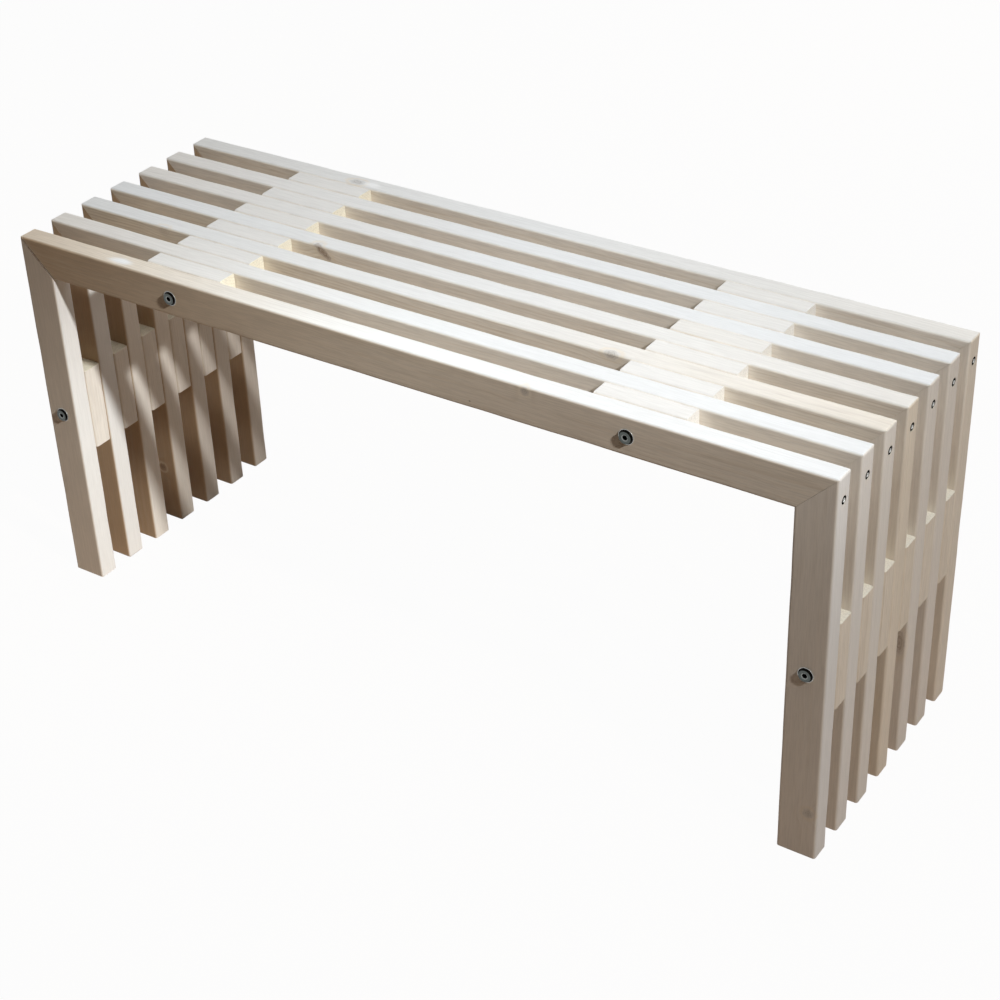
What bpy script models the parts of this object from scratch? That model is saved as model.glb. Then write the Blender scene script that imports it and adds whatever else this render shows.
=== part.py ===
"""Slatted pine bench: mitred frames on edge, held apart by spacer blocks and drawn together by tie rods.

Units are metres and +Z is up. The origin is on the floor under the middle of the bench.
+X runs along the bench, and the front face looks along -Y.
"""
import math

import bmesh
import bpy
from mathutils import Matrix, Vector

# Overall sizes
BENCH_LENGTH = 1.000          # over the outer faces of the two leg rows
SEAT_HEIGHT = 0.448           # floor to the top of the rails
FRAME_COUNT = 7               # frames from front to back

# Planed stock
SLAT_THICKNESS = 0.0245       # front to back, for rails and legs
SLAT_DEPTH = 0.043            # height of a rail and width of a leg
EDGE_RADIUS = 0.0035          # rounding of every long edge
FRAME_GAP = 0.0245            # clear space between two frames
SPACER_LENGTH = 0.102         # along the grain of a spacer block

# Tie rods and their cap nuts
SEAT_ROD_INSET = 0.218        # end of the bench to the axis of a seat rod
LEG_ROD_HEIGHT = 0.224        # floor to the axis of a leg rod
ROD_DIAMETER = 0.008
SLEEVE_WALL = 0.0012          # wall of the nut's threaded sleeve
SLEEVE_LENGTH = 0.018         # head's underside to the end of the sleeve
HEAD_OVERHANG = 0.0026        # head's reach past the edge of its hole
HEAD_HEIGHT = 0.0026
HEAD_BEVEL = 0.0016           # width of the sloped rim of the head
SOCKET_WIDTH = 0.005          # across the flats of the hex socket
SOCKET_DEPTH = 0.004
SOCKET_FLOOR = 0.002          # metal between the socket and the thread

# Screws that draw each mitre together
SCREW_DROP = 0.027            # top of the rail to the axis of the screw
SCREW_LENGTH = 0.050          # underside of the head to the tip
SCREW_SEAT_DIAMETER = 0.0095  # recess for the head in the leg's outer face
SCREW_SEAT_DEPTH = 0.005
SCREW_SHANK_HOLE = 0.0045     # clearance hole through the leg
SCREW_PILOT_HOLE = 0.003      # pilot hole in the rail

# Clearance at every glued, clamped or threaded face
JOINT_GAP = 0.0003

# Fineness of the round shapes
EDGE_SEGMENTS = 3
TURNED_SEGMENTS = 24
HOLE_SEGMENTS = 16

# Sizes that follow from the ones above
FRAME_PITCH = SLAT_THICKNESS + FRAME_GAP
BENCH_WIDTH = FRAME_COUNT * SLAT_THICKNESS + (FRAME_COUNT - 1) * FRAME_GAP
SPACER_THICKNESS = FRAME_GAP - 2 * JOINT_GAP
SLEEVE_BORE = ROD_DIAMETER + 2 * JOINT_GAP
SLEEVE_DIAMETER = SLEEVE_BORE + 2 * SLEEVE_WALL
ROD_HOLE = SLEEVE_DIAMETER + 2 * JOINT_GAP
HEAD_DIAMETER = ROD_HOLE + 2 * HEAD_OVERHANG
RAIL_AXIS_HEIGHT = SEAT_HEIGHT - SLAT_DEPTH / 2
LEG_AXIS_REACH = BENCH_LENGTH / 2 - SLAT_DEPTH / 2
SEAT_ROD_REACH = BENCH_LENGTH / 2 - SEAT_ROD_INSET
CUTTER_OVERRUN = SLAT_THICKNESS

SIDES = {"left": -1, "right": 1}


def clear_scene():
    for item in list(bpy.data.objects):
        bpy.data.objects.remove(item, do_unlink=True)


def new_collection(name):
    collection = bpy.data.collections.new(name)
    bpy.context.scene.collection.children.link(collection)
    return collection


def plain_material(name, colour, roughness, metallic):
    material = bpy.data.materials.new(name)
    material.use_nodes = True
    shader = material.node_tree.nodes["Principled BSDF"]
    shader.inputs["Base Color"].default_value = (*colour, 1.0)
    shader.inputs["Roughness"].default_value = roughness
    shader.inputs["Metallic"].default_value = metallic
    return material


def add_part(name, mesh, location, material, parent=None):
    mesh.materials.append(material)
    part = bpy.data.objects.new(name, mesh)
    part.location = location
    part.parent = parent
    PARTS.objects.link(part)
    return part


def add_cutter(name, mesh, location=(0, 0, 0)):
    cutter = bpy.data.objects.new(name, mesh)
    cutter.location = location
    cutter.hide_render = True
    cutter.display_type = "WIRE"
    CUTTERS.objects.link(cutter)
    return cutter


def cut(part, *cutters):
    for cutter in cutters:
        modifier = part.modifiers.new("cut_" + cutter.name, "BOOLEAN")
        modifier.operation = "DIFFERENCE"
        modifier.solver = "EXACT"
        modifier.object = cutter


def mesh_from(work, name):
    mesh = bpy.data.meshes.new(name)
    work.to_mesh(mesh)
    work.free()
    return mesh


def cylinder_mesh(name, diameter, length, turn, segments, centres=((0, 0, 0),)):
    """Cylinders of one size, one around each centre, turned from +Z by a rotation matrix."""
    work = bmesh.new()
    for centre in centres:
        bmesh.ops.create_cone(
            work, cap_ends=True, segments=segments, radius1=diameter / 2, radius2=diameter / 2,
            depth=length, matrix=Matrix.Translation(centre) @ turn)
    return mesh_from(work, name)


def planed_bar(name, size, location, run, material, parent=None):
    """A bar of planed stock: a box whose four edges along its run, "x" or "z", are rounded."""
    work = bmesh.new()
    bmesh.ops.create_cube(work, size=1.0, matrix=Matrix.Diagonal((*size, 1.0)))
    weight = work.edges.layers.float.new("bevel_weight_edge")
    for edge in work.edges:
        start, end = edge.verts
        if getattr(start.co, run) != getattr(end.co, run):
            edge[weight] = 1.0
    bar = add_part(name, mesh_from(work, name), location, material, parent)
    rounding = bar.modifiers.new("rounded_edges", "BEVEL")
    rounding.limit_method = "WEIGHT"
    rounding.width = EDGE_RADIUS
    rounding.segments = EDGE_SEGMENTS
    return bar


def mitre_cutter(name, side, keeps_rail):
    """A block with one face along the 45 degree mitre, set back by half the joint's gap."""
    towards_rail = Vector((-side, 0, 1)).normalized()
    removed_side = -towards_rail if keeps_rail else towards_rail
    block_size = 4 * SLAT_DEPTH
    middle = Vector((side * LEG_AXIS_REACH, 0, RAIL_AXIS_HEIGHT))
    work = bmesh.new()
    bmesh.ops.create_cube(
        work, size=1.0,
        matrix=Matrix.Rotation(math.pi / 4, 4, "Y")
        @ Matrix.Diagonal((block_size, BENCH_WIDTH + 2 * CUTTER_OVERRUN, block_size, 1.0)))
    return add_cutter(name, mesh_from(work, name), middle + removed_side * (block_size - JOINT_GAP) / 2)


def rod_axes():
    """Where each tie rod crosses the bench, as (name, x, z)."""
    for side_name, side in SIDES.items():
        yield "seat_" + side_name, side * SEAT_ROD_REACH, RAIL_AXIS_HEIGHT
        yield "leg_" + side_name, side * LEG_AXIS_REACH, LEG_ROD_HEIGHT


def frame_y(index):
    """Middle of a frame, counted from 0 at the front."""
    return (index - (FRAME_COUNT - 1) / 2) * FRAME_PITCH


def make_cutters():
    """Mitre blocks, tie rod drills and screw drills, each made to cross every frame."""
    cutters = {}
    along_x = Matrix.Rotation(math.pi / 2, 4, "Y")
    along_y = Matrix.Rotation(math.pi / 2, 4, "X")
    for name, x, z in rod_axes():
        length = BENCH_WIDTH + 2 * CUTTER_OVERRUN
        drill = cylinder_mesh("rod_drill_" + name, ROD_HOLE, length, along_y, HOLE_SEGMENTS)
        cutters["rod_" + name] = add_cutter("rod_drill_" + name, drill, (x, 0, z))
    for side_name, side in SIDES.items():
        cutters["rail_mitre_" + side_name] = mitre_cutter("rail_mitre_" + side_name, side, True)
        cutters["leg_mitre_" + side_name] = mitre_cutter("leg_mitre_" + side_name, side, False)
        screw_drills = {
            "seat": (SCREW_SEAT_DIAMETER, 2 * SCREW_SEAT_DEPTH),
            "shank": (SCREW_SHANK_HOLE, 2 * SLAT_DEPTH),
            "pilot": (SCREW_PILOT_HOLE, 2 * (SCREW_SEAT_DEPTH + SCREW_LENGTH)),
        }
        mouth_x, mouth_z = side * BENCH_LENGTH / 2, SEAT_HEIGHT - SCREW_DROP
        mouths = [(mouth_x, frame_y(index), mouth_z) for index in range(FRAME_COUNT)]
        for use, (diameter, length) in screw_drills.items():
            name = f"screw_{use}_{side_name}"
            drill = cylinder_mesh(name, diameter, length, along_x, HOLE_SEGMENTS, mouths)
            cutters[name] = add_cutter(name, drill)
    return cutters


def make_frames(cutters, rail_material, leg_material):
    """Seven frames, each a rail on edge and two legs mitred to its ends."""
    for index in range(FRAME_COUNT):
        number = index + 1
        frame = bpy.data.objects.new(f"frame_{number}", None)
        frame.location = (0, frame_y(index), 0)
        PARTS.objects.link(frame)
        rail = planed_bar(
            f"rail_{number}", (BENCH_LENGTH, SLAT_THICKNESS, SLAT_DEPTH), (0, 0, RAIL_AXIS_HEIGHT),
            "x", rail_material, frame)
        for side_name, side in SIDES.items():
            cut(rail, cutters["rail_mitre_" + side_name], cutters["rod_seat_" + side_name],
                cutters["screw_pilot_" + side_name])
            leg = planed_bar(
                f"leg_{side_name}_{number}", (SLAT_DEPTH, SLAT_THICKNESS, SEAT_HEIGHT),
                (side * LEG_AXIS_REACH, 0, SEAT_HEIGHT / 2), "z", leg_material, frame)
            cut(leg, cutters["leg_mitre_" + side_name], cutters["rod_leg_" + side_name],
                cutters["screw_seat_" + side_name], cutters["screw_shank_" + side_name])


def make_spacers(cutters, material):
    """Four blocks in each gap, each threaded on its own tie rod and flush with the slats beside it."""
    for index in range(FRAME_COUNT - 1):
        y = (frame_y(index) + frame_y(index + 1)) / 2
        for name, x, z in rod_axes():
            if name.startswith("seat"):
                size, run = (SPACER_LENGTH, SPACER_THICKNESS, SLAT_DEPTH), "x"
            else:
                size, run = (SLAT_DEPTH, SPACER_THICKNESS, SPACER_LENGTH), "z"
            spacer = planed_bar(f"spacer_{name}_{index + 1}", size, (x, y, z), run, material)
            cut(spacer, cutters["rod_" + name])


def nut_profile():
    """Half section of a cap nut, from the middle of its face round the sleeve to the end of the bore."""
    face = HEAD_HEIGHT
    bore_end = face - SOCKET_DEPTH - SOCKET_FLOOR
    return [
        (0, face),
        (HEAD_DIAMETER / 2 - HEAD_BEVEL, face),
        (HEAD_DIAMETER / 2, face - HEAD_BEVEL),
        (HEAD_DIAMETER / 2, 0),
        (SLEEVE_DIAMETER / 2, 0),
        (SLEEVE_DIAMETER / 2, -SLEEVE_LENGTH),
        (SLEEVE_BORE / 2, -SLEEVE_LENGTH),
        (SLEEVE_BORE / 2, bore_end),
        (0, bore_end),
    ]


def make_nut(name, location, rotation, material):
    """A turned cap nut whose face points along its local +Z, with a hex socket."""
    work = bmesh.new()
    points = [work.verts.new((radius, 0, height)) for radius, height in nut_profile()]
    for start, end in zip(points, points[1:]):
        work.edges.new((start, end))
    nut = add_part(name, mesh_from(work, name), location, material)
    nut.rotation_euler = rotation
    turning = nut.modifiers.new("turned", "SCREW")
    turning.steps = TURNED_SEGMENTS
    turning.render_steps = TURNED_SEGMENTS
    turning.use_merge_vertices = True
    turning.merge_threshold = 0.00001
    hexagon = cylinder_mesh(
        "socket_" + name, SOCKET_WIDTH / math.cos(math.pi / 6), 2 * SOCKET_DEPTH, Matrix.Identity(4), 6,
        ((0, 0, HEAD_HEIGHT),))
    socket = add_cutter("socket_" + name, hexagon, location)
    socket.rotation_euler = rotation
    cut(nut, socket)


def make_ties(rod_material, nut_material):
    """Four threaded rods through the whole bench, with a cap nut on each end."""
    nut_seat = BENCH_WIDTH / 2 + JOINT_GAP
    thread_end = nut_seat + HEAD_HEIGHT - SOCKET_DEPTH - SOCKET_FLOOR - JOINT_GAP
    along_y = Matrix.Rotation(math.pi / 2, 4, "X")
    for name, x, z in rod_axes():
        rod = cylinder_mesh("tie_rod_" + name, ROD_DIAMETER, 2 * thread_end, along_y, TURNED_SEGMENTS)
        rod.shade_smooth()
        rod.set_sharp_from_angle(angle=math.radians(40))
        add_part("tie_rod_" + name, rod, (x, 0, z), rod_material)
        make_nut("cap_nut_" + name + "_front", (x, -nut_seat, z), (math.pi / 2, 0, 0), nut_material)
        make_nut("cap_nut_" + name + "_rear", (x, nut_seat, z), (-math.pi / 2, 0, 0), nut_material)


clear_scene()
PARTS = new_collection("slatted_bench")
CUTTERS = new_collection("cutters")
all_cutters = make_cutters()
make_frames(
    all_cutters,
    plain_material("white_oiled_pine_rail", (0.72, 0.66, 0.58), 0.55, 0.0),
    plain_material("white_oiled_pine_leg", (0.68, 0.62, 0.54), 0.55, 0.0))
make_spacers(all_cutters, plain_material("white_oiled_pine_spacer", (0.75, 0.69, 0.58), 0.55, 0.0))
make_ties(
    plain_material("zinc_plated_rod", (0.50, 0.51, 0.52), 0.45, 1.0),
    plain_material("zinc_plated_nut", (0.56, 0.57, 0.57), 0.35, 1.0))
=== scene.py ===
import math

import bpy
import numpy as np
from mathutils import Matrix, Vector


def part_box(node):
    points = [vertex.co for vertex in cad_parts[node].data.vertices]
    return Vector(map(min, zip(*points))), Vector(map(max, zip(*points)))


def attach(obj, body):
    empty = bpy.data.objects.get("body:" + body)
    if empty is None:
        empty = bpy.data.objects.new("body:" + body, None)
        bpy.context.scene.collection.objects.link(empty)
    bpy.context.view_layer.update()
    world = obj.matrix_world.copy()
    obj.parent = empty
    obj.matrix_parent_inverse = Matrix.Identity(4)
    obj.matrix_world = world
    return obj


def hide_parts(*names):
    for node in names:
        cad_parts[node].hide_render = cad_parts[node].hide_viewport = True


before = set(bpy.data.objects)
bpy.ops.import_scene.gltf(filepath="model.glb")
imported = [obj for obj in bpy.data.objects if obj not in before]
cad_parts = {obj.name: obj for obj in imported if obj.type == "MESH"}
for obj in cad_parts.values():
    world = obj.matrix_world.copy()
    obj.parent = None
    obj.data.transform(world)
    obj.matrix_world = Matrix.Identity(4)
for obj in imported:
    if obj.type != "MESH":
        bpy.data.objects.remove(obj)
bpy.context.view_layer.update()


# Rails. Seven bars of planed pine lie on edge along the seat, one for each frame, finished in white oil.
# Their long edges are rounded, both ends are sawn at 45 degrees for the mitres, and they are drilled for
# the two seat rods and for the points of the corner screws.
FRAMES = range(1, 8)
SIDES = {"left": -1, "right": 1}
EDGES = ((1, 1), (-1, 1), (-1, -1), (1, -1))  # the four long edges, by the sides of the section they lie on
EDGE_RADIUS = 0.0027
EDGE_STEPS = 8
FLAT_SHARES = (0.02, 0.25, 0.5, 0.75, 0.98)   # points on a flat side between two rounded edges
SAWN_ARRIS = 0.0001       # easing of a sawn edge
ARRIS_STEP = 0.0004       # from the easing to the next section of a bar
END_RINGS = (0.0014, 0.0023, 0.0035)          # closer sections near an end, for its sanded corner
MITRE_CLOSED = 0.00013    # how far each mitre is pressed in, past the gap that the solids leave
CORNER_RADIUS = 0.0022    # sanding of the corner where a rail turns into a leg
RING_SPACING = 0.012
WEAR_DEPTH = 0.0004       # deepest dent along a long edge
WEAR_START = 0.84         # nearness to an edge, 1 being its sharp corner, from where it can be dented
WEAR_BLEND = 0.1
DENT_WAVES = 5
DENT_PITCHES = (20, 90)   # least and most radians in a metre of the waves that place the dents
LEFT_MITRE_OPENING = {1: (0.0004, 0.0018)}    # rail: how far its left mitre gapes outside and inside
ROD_HOLE = 0.0116
PILOT_HOLE = 0.003
PILOT_REACH = 0.055
SCREW_DROP = 0.027        # top of the rail to the axis of a corner screw
BORE_STEPS = 48
DRILL_PAST = 0.02         # how far a rod's drill runs past each end of the rod
RAIL_SEED = 100
RAIL_CONTRAST = 0.85      # strength of the grain
PITH_DISTANCES = (0.03, 0.075)                # least and most distance of a bar from its tree's pith
PITH_LEAN = 0.012         # most lean of the pith to the bar, in metres a metre
TREE_LENGTH = 40          # bars are cut from anywhere along a trunk this long, so that no two are alike
TIMBER_CREASE = 28        # degrees past which an edge of the wood is drawn sharp
# A face's finish here means its painted light or painted shade.
PAINTED_LIGHT_START = 0.3        # how squarely a point looks out of a face before it takes on that face's finish
PAINTED_LIGHT_BLEND = 0.6
SAWN_SQUARE = 0.6         # how squarely a face looks along the run where it counts as sawn
SANDED_SQUARE = 0.2       # and both up and outwards where it counts as a sanded corner
RAIL_TINTS = (0.50, 0.25, 0.95, 0.80, 0.15, 0.20, 0.60)
# Painted light and shade on each rail: above 0 the share of a whiter colour on the top and of a paler one
# on the front, below 0 that of a brown one.
RAIL_PAINTED_LIGHT = (         # a rail's top and front, each at the left end, in the middle and at the right end
    ((-0.35, 0.95, 1.0), (-0.95, -0.25, 0.0)),
    ((0.45, 1.0, 1.0), (-0.40, 0.8, 0.7)),
    ((0.95, 0.95, 0.35), (0.0, 0.8, 0.7)),
    ((1.0, 0.95, 0.65), (0.1, 0.9, 0.7)),
    ((0.50, 1.0, 1.0), (0.1, 1.0, 0.9)),
    ((0.55, 1.0, 1.0), (0.2, 1.0, 1.0)),
    ((0.80, 0.95, 0.60), (0.2, 1.0, 1.0)),
)
# Painted light on the backs of all the rails.
RAIL_BACK_PAINTED_LIGHT = (0.3, 1.0, 0.9)
# A knot is given as (x, distance behind the front face, z, three radii, turn in degrees, darkness), and so
# is the painted shade in the gaping mitre.
OPEN_MITRE_SHADE = (-0.4785, 0.0, 0.4265, (0.035, 0.010, 0.0021), 45, 0.95)
RAIL_KNOTS = {
    1: {"grey_knot": (0.169, 0.0, 0.4425, (0.0055, 0.006, 0.0055), 0, 0.55),
        "pin_knot": (0.104, 0.0, 0.413, (0.0014, 0.004, 0.0012), 0, 0.8),
        "white_patch": (-0.357, 0.010, 0.448, (0.020, 0.008, 0.004), 0, 1.0),
        "brown_knot": OPEN_MITRE_SHADE},
    3: {"grey_knot": (0.207, 0.001, 0.446, (0.010, 0.007, 0.006), 0, 0.60),
        "brown_knot": (-0.374, 0.0, 0.443, (0.010, 0.006, 0.006), 0, 0.22)},
    4: {"brown_knot": (-0.188, 0.0, 0.441, (0.0160, 0.009, 0.0052), 35, 0.92),
        "pin_knot": (0.330, 0.0, 0.424, (0.0018, 0.004, 0.0016), 0, 0.5)},
    6: {"pin_knot": (0.080, 0.0, 0.432, (0.0020, 0.004, 0.0018), 0, 0.5)},
    7: {"grey_knot": (-0.256, 0.0085, 0.448, (0.012, 0.0065, 0.009), 0, 0.60),
        "white_patch": (-0.236, 0.011, 0.448, (0.016, 0.008, 0.004), 0, 1.0)},
}


def outline(thickness, depth, inset=0.0):
    """Section of a planed bar, walked once round: four quarter circles, each its own centre plus the
    radius times (cosine, sine), joined by flats that carry a few points of their own."""
    radius = EDGE_RADIUS - inset
    centre = np.array([thickness, depth]) / 2 - EDGE_RADIUS
    turn = np.linspace(0, math.pi / 2, EDGE_STEPS + 1) + np.arange(4)[:, None] * math.pi / 2
    arcs = (np.array(EDGES) * centre)[:, None] + radius * np.stack([np.cos(turn), np.sin(turn)], axis=-1)
    arc_ends, next_starts = arcs[:, -1:], np.roll(arcs[:, :1], -1, axis=0)
    flats = arc_ends + (next_starts - arc_ends) * np.array(FLAT_SHARES)[None, :, None]
    return np.concatenate([arcs, flats], axis=1).reshape(-1, 2)


def end_line(across_depth, middle, slope, depth, outward):
    """How far the bar reaches at each point of its section: a line across its depth, with the sharp
    outer corner of a mitre held back to where its sanding starts."""
    tip = depth / 2 - CORNER_RADIUS * (1 - math.sqrt(0.5))
    return middle + outward * np.minimum(outward * slope * across_depth, tip)


def bar_grid(thickness, depth, start, end, seed, arris=SAWN_ARRIS):
    """A planed bar along its run: the section is carried from the start line to the end line, each given
    as (middle, slope across the depth). The first and last sections are drawn in by the sawn arris. Each
    long edge is dented where the mean of a few sine waves along the run is above 0.
    Returns the run, across and depth coordinates of every ring of points."""
    full, eased = outline(thickness, depth), outline(thickness, depth, arris)
    length = end[0] - start[0]
    inner = np.linspace(0, 1, max(int(length / RING_SPACING), 6))[1:-1]
    near = np.array([0, arris, arris + ARRIS_STEP, *END_RINGS])
    share = np.concatenate([np.zeros(len(near)), inner, np.ones(len(near))])
    offset = np.concatenate([near, np.zeros(len(inner)), -near[::-1]])
    section = np.repeat(full[None], len(share), axis=0)
    section[0] = section[-1] = eased
    across, deep = section[..., 0], section[..., 1]
    first = end_line(deep, *start, depth, -1)
    last = end_line(deep, *end, depth, 1)
    run = first + (last - first) * share[:, None] + offset[:, None]
    dents = np.random.default_rng(seed)
    pitch = dents.uniform(*DENT_PITCHES, (4, DENT_WAVES))
    phase = dents.uniform(0, 2 * math.pi, (4, DENT_WAVES))
    wave = np.sin(run[..., None, None] * pitch + phase).sum(axis=-1) / DENT_WAVES
    nearness = np.stack([across * x / thickness + deep * z / depth for x, z in EDGES], axis=-1)
    on_edge = np.clip((nearness - WEAR_START) / WEAR_BLEND, 0, 1)
    worn = WEAR_DEPTH * (np.clip(wave, 0, 1) * on_edge).sum(axis=-1)
    return run, across - np.sign(across) * worn, deep - np.sign(deep) * worn


def sand_corner(away, below):
    """The outer corner of a frame as a quarter circle: a point nearer to the end than the radius drops
    to radius minus the square root of radius squared less (radius minus its distance) squared."""
    reach = np.clip(CORNER_RADIUS - away, 0, CORNER_RADIUS)
    return np.maximum(below, CORNER_RADIUS - np.sqrt(CORNER_RADIUS ** 2 - reach ** 2))


def grid_mesh(name, points, flip=False):
    """Mesh of rings of points: quads between neighbouring rings and one flat face over each end."""
    rings, count = points.shape[:2]
    index = np.arange(rings * count).reshape(rings, count)
    beside = np.roll(index, -1, axis=1)
    quads = np.stack([index[:-1], beside[:-1], beside[1:], index[1:]], axis=-1).reshape(-1, 4)
    order = -1 if flip else 1
    faces = [*quads[:, ::order].tolist(), index[0, ::-order].tolist(), index[-1, ::order].tolist()]
    mesh = bpy.data.meshes.new(name)
    mesh.from_pydata(points.reshape(-1, 3).tolist(), [], faces)
    return mesh


def add_piece(name, mesh):
    """Puts a mesh into the scene as an object at the origin."""
    piece = bpy.data.objects.new(name, mesh)
    bpy.context.scene.collection.objects.link(piece)
    return piece


def turned(radii, heights, turns, foot, axis):
    """Surface of revolution: each radius and height of a profile is swept round an axis through the foot.
    A radius may change with the angle, so that a socket is six-sided. The axis is x or y, with its sign."""
    ring = np.stack([radii * np.cos(turns), radii * np.sin(turns), axis["sign"] * heights], axis=-1)
    order = {"x": [2, 0, 1], "y": [1, 2, 0]}[axis["name"]]
    return np.asarray(foot) + ring[..., order]


def ring_grid(rings, turns):
    """Radius and height at each angle of each ring; a ring's radius may itself differ with the angle."""
    radii = np.stack([radius * np.ones_like(turns) for radius, height in rings])
    heights = np.stack([height * np.ones_like(turns) for radius, height in rings])
    return radii, heights


def drill(name, steps, foot, axis):
    """A stepped drill: (radius, height) steps turned round its axis from the tip to the shank."""
    turns = np.linspace(0, 2 * math.pi, BORE_STEPS, endpoint=False)
    radii, heights = ring_grid(steps, turns)
    points = turned(radii, heights, turns, foot, axis)
    return add_piece(name, grid_mesh(name, points, flip=axis["sign"] < 0))


def bored(piece, drills):
    """Cuts the drills out of the piece once, and keeps the result as its plain mesh."""
    for tool in drills:
        hole = piece.modifiers.new("bore", "BOOLEAN")
        hole.operation = "DIFFERENCE"
        hole.solver = "EXACT"
        hole.object = tool
    cut_mesh = bpy.data.meshes.new_from_object(piece.evaluated_get(bpy.context.evaluated_depsgraph_get()))
    piece.modifiers.clear()
    piece.data = cut_mesh
    cut_mesh.name = piece.name


def mark(mesh, name, kind, domain, values):
    """Stores a value for each point or face, which the material reads by its name."""
    layer = mesh.attributes.new(name, kind, domain)
    field = "vector" if kind == "FLOAT_VECTOR" else "value"
    layer.data.foreach_set(field, np.asarray(values, np.float32).ravel())


def vectors_of(items, field):
    """A vector of each point or face of a mesh, as the rows of an array."""
    flat = np.empty(len(items) * 3, np.float32)
    items.foreach_get(field, flat)
    return flat.reshape(-1, 3)


def mark_timber(piece, run_axis, tint, light_and_shade, knots, seed):
    """Gives a bar its own piece of a tree. The grain attribute is the distance along the run and the two
    distances from the pith, so growth rings are circles round it. A knot attribute is the place relative
    to the knot's centre, turned in the front face and measured in the knot's three radii; one of them
    also places the painted shade in an open mitre. The painted light and shade is given at the start,
    middle and end of the run. On the narrow sides (of a seat piece only the top) and the ends it is the
    share of a whiter colour, painted light, on front and back that of a paler colour, painted light, and
    below 0 that of a brown colour, painted shade."""
    mesh = piece.data
    places = vectors_of(mesh.vertices, "co").astype(float)
    tree = np.random.default_rng(seed)
    middle = (places.min(axis=0) + places.max(axis=0)) / 2
    other = {"x": (1, 2), "z": (1, 0)}[run_axis]
    run = {"x": 0, "z": 2}[run_axis]
    angle = tree.uniform(0, 2 * math.pi)
    distance = tree.uniform(*PITH_DISTANCES)
    lean = tree.uniform(-PITH_LEAN, PITH_LEAN, 2)
    along = places[:, run] - middle[run]
    first = places[:, other[0]] - middle[other[0]] + distance * math.cos(angle) + lean[0] * along
    second = places[:, other[1]] - middle[other[1]] + distance * math.sin(angle) + lean[1] * along
    up_trunk = along + tree.uniform(0, TREE_LENGTH)
    mark(mesh, "grain", "FLOAT_VECTOR", "POINT", np.stack([up_trunk, first, second], axis=-1))
    mark(mesh, "tint", "FLOAT", "POINT", np.full(len(places), tint))
    front = places[:, 1].min()
    for kind, (place_x, behind, place_z, radii, turn, darkness) in knots.items():
        from_knot = places - (place_x, front + behind, place_z)
        cosine = math.cos(math.radians(turn))
        sine = math.sin(math.radians(turn))
        along_branch = from_knot[:, 0] * cosine - from_knot[:, 2] * sine
        across_branch = from_knot[:, 0] * sine + from_knot[:, 2] * cosine
        in_radii = np.stack([along_branch, from_knot[:, 1], across_branch], axis=-1) / radii
        mark(mesh, kind, "FLOAT_VECTOR", "POINT", in_radii)
        mark(mesh, kind + "_darkness", "FLOAT", "POINT", np.full(len(places), darkness))
    facing = vectors_of(mesh.vertices, "normal")
    looks = {"narrow": {"x": facing[:, 2], "z": np.abs(facing[:, 0])}[run_axis],
             "front": -facing[:, 1], "back": facing[:, 1], "ends": np.abs(facing[:, run])}
    share_along = (places[:, run] - places[:, run].min()) / np.ptp(places[:, run])
    face_shares = dict.fromkeys(looks, np.zeros(len(places)))
    for face, shares in light_and_shade.items():
        on_face = np.clip((looks[face] - PAINTED_LIGHT_START) / PAINTED_LIGHT_BLEND, 0, 1)
        face_shares[face] = np.interp(share_along, (0, 0.5, 1), shares) * on_face
    # Above 0 these shares are painted light, below 0 painted shade.
    oiled = face_shares["narrow"] + face_shares["ends"]
    broad = face_shares["front"] + face_shares["back"]
    mark(mesh, "white", "FLOAT", "POINT", np.clip(oiled, 0, 1))
    mark(mesh, "painted_light", "FLOAT", "POINT", np.clip(broad, 0, 1))
    mark(mesh, "painted_shade", "FLOAT", "POINT", np.clip(-oiled, 0, 1) + np.clip(-broad, 0, 1))
    normals = vectors_of(mesh.polygons, "normal")
    outward = normals[:, 0] * np.sign(vectors_of(mesh.polygons, "center")[:, 0])
    sanded_corner = (normals[:, 2] > SANDED_SQUARE) & (outward > SANDED_SQUARE)
    mark(mesh, "sawn", "FLOAT", "FACE", (np.abs(normals[:, run]) > SAWN_SQUARE) & ~sanded_corner)
    mesh.shade_smooth()
    mesh.set_sharp_from_angle(angle=math.radians(TIMBER_CREASE))


def add_node(tree, kind, inputs=None, **options):
    """Adds a shader node, sets its options, and fills inputs with values or other nodes' outputs."""
    made = tree.nodes.new("ShaderNode" + kind)
    for option, value in options.items():
        setattr(made, option, value)
    for socket, value in (inputs or {}).items():
        if isinstance(value, bpy.types.NodeSocket):
            tree.links.new(value, made.inputs[socket])
        else:
            made.inputs[socket].default_value = value
    return made


def maths(tree, operation, first, second=0.0, third=0.0):
    """One step of arithmetic on values in a shader."""
    return add_node(tree, "Math", {0: first, 1: second, 2: third}, operation=operation).outputs[0]


def eased_step(tree, value, low, high, start=0.0, end=1.0):
    """Smooth step of a value from one level to another."""
    step = add_node(tree, "MapRange", {"Value": value, "From Min": low, "From Max": high, "To Min": start,
                                       "To Max": end}, interpolation_type="SMOOTHSTEP")
    return step.outputs["Result"]


def blend_colours(tree, share, first, second, blend="MIX"):
    """The second colour laid over the first by a share."""
    made = add_node(tree, "Mix", {0: share, 6: first, 7: second}, data_type="RGBA", blend_type=blend)
    return made.outputs[2]


def stretched_noise(tree, vector, scale, detail, roughness=0.5):
    """Noise on the grain's own coordinates, drawn out along the run by unlike scales."""
    place = add_node(tree, "VectorMath", {0: vector, 1: scale}, operation="MULTIPLY").outputs[0]
    noise = add_node(tree, "TexNoise", {"Vector": place, "Scale": 1.0, "Detail": detail,
                                        "Roughness": roughness})
    return noise.outputs["Fac"]


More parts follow.
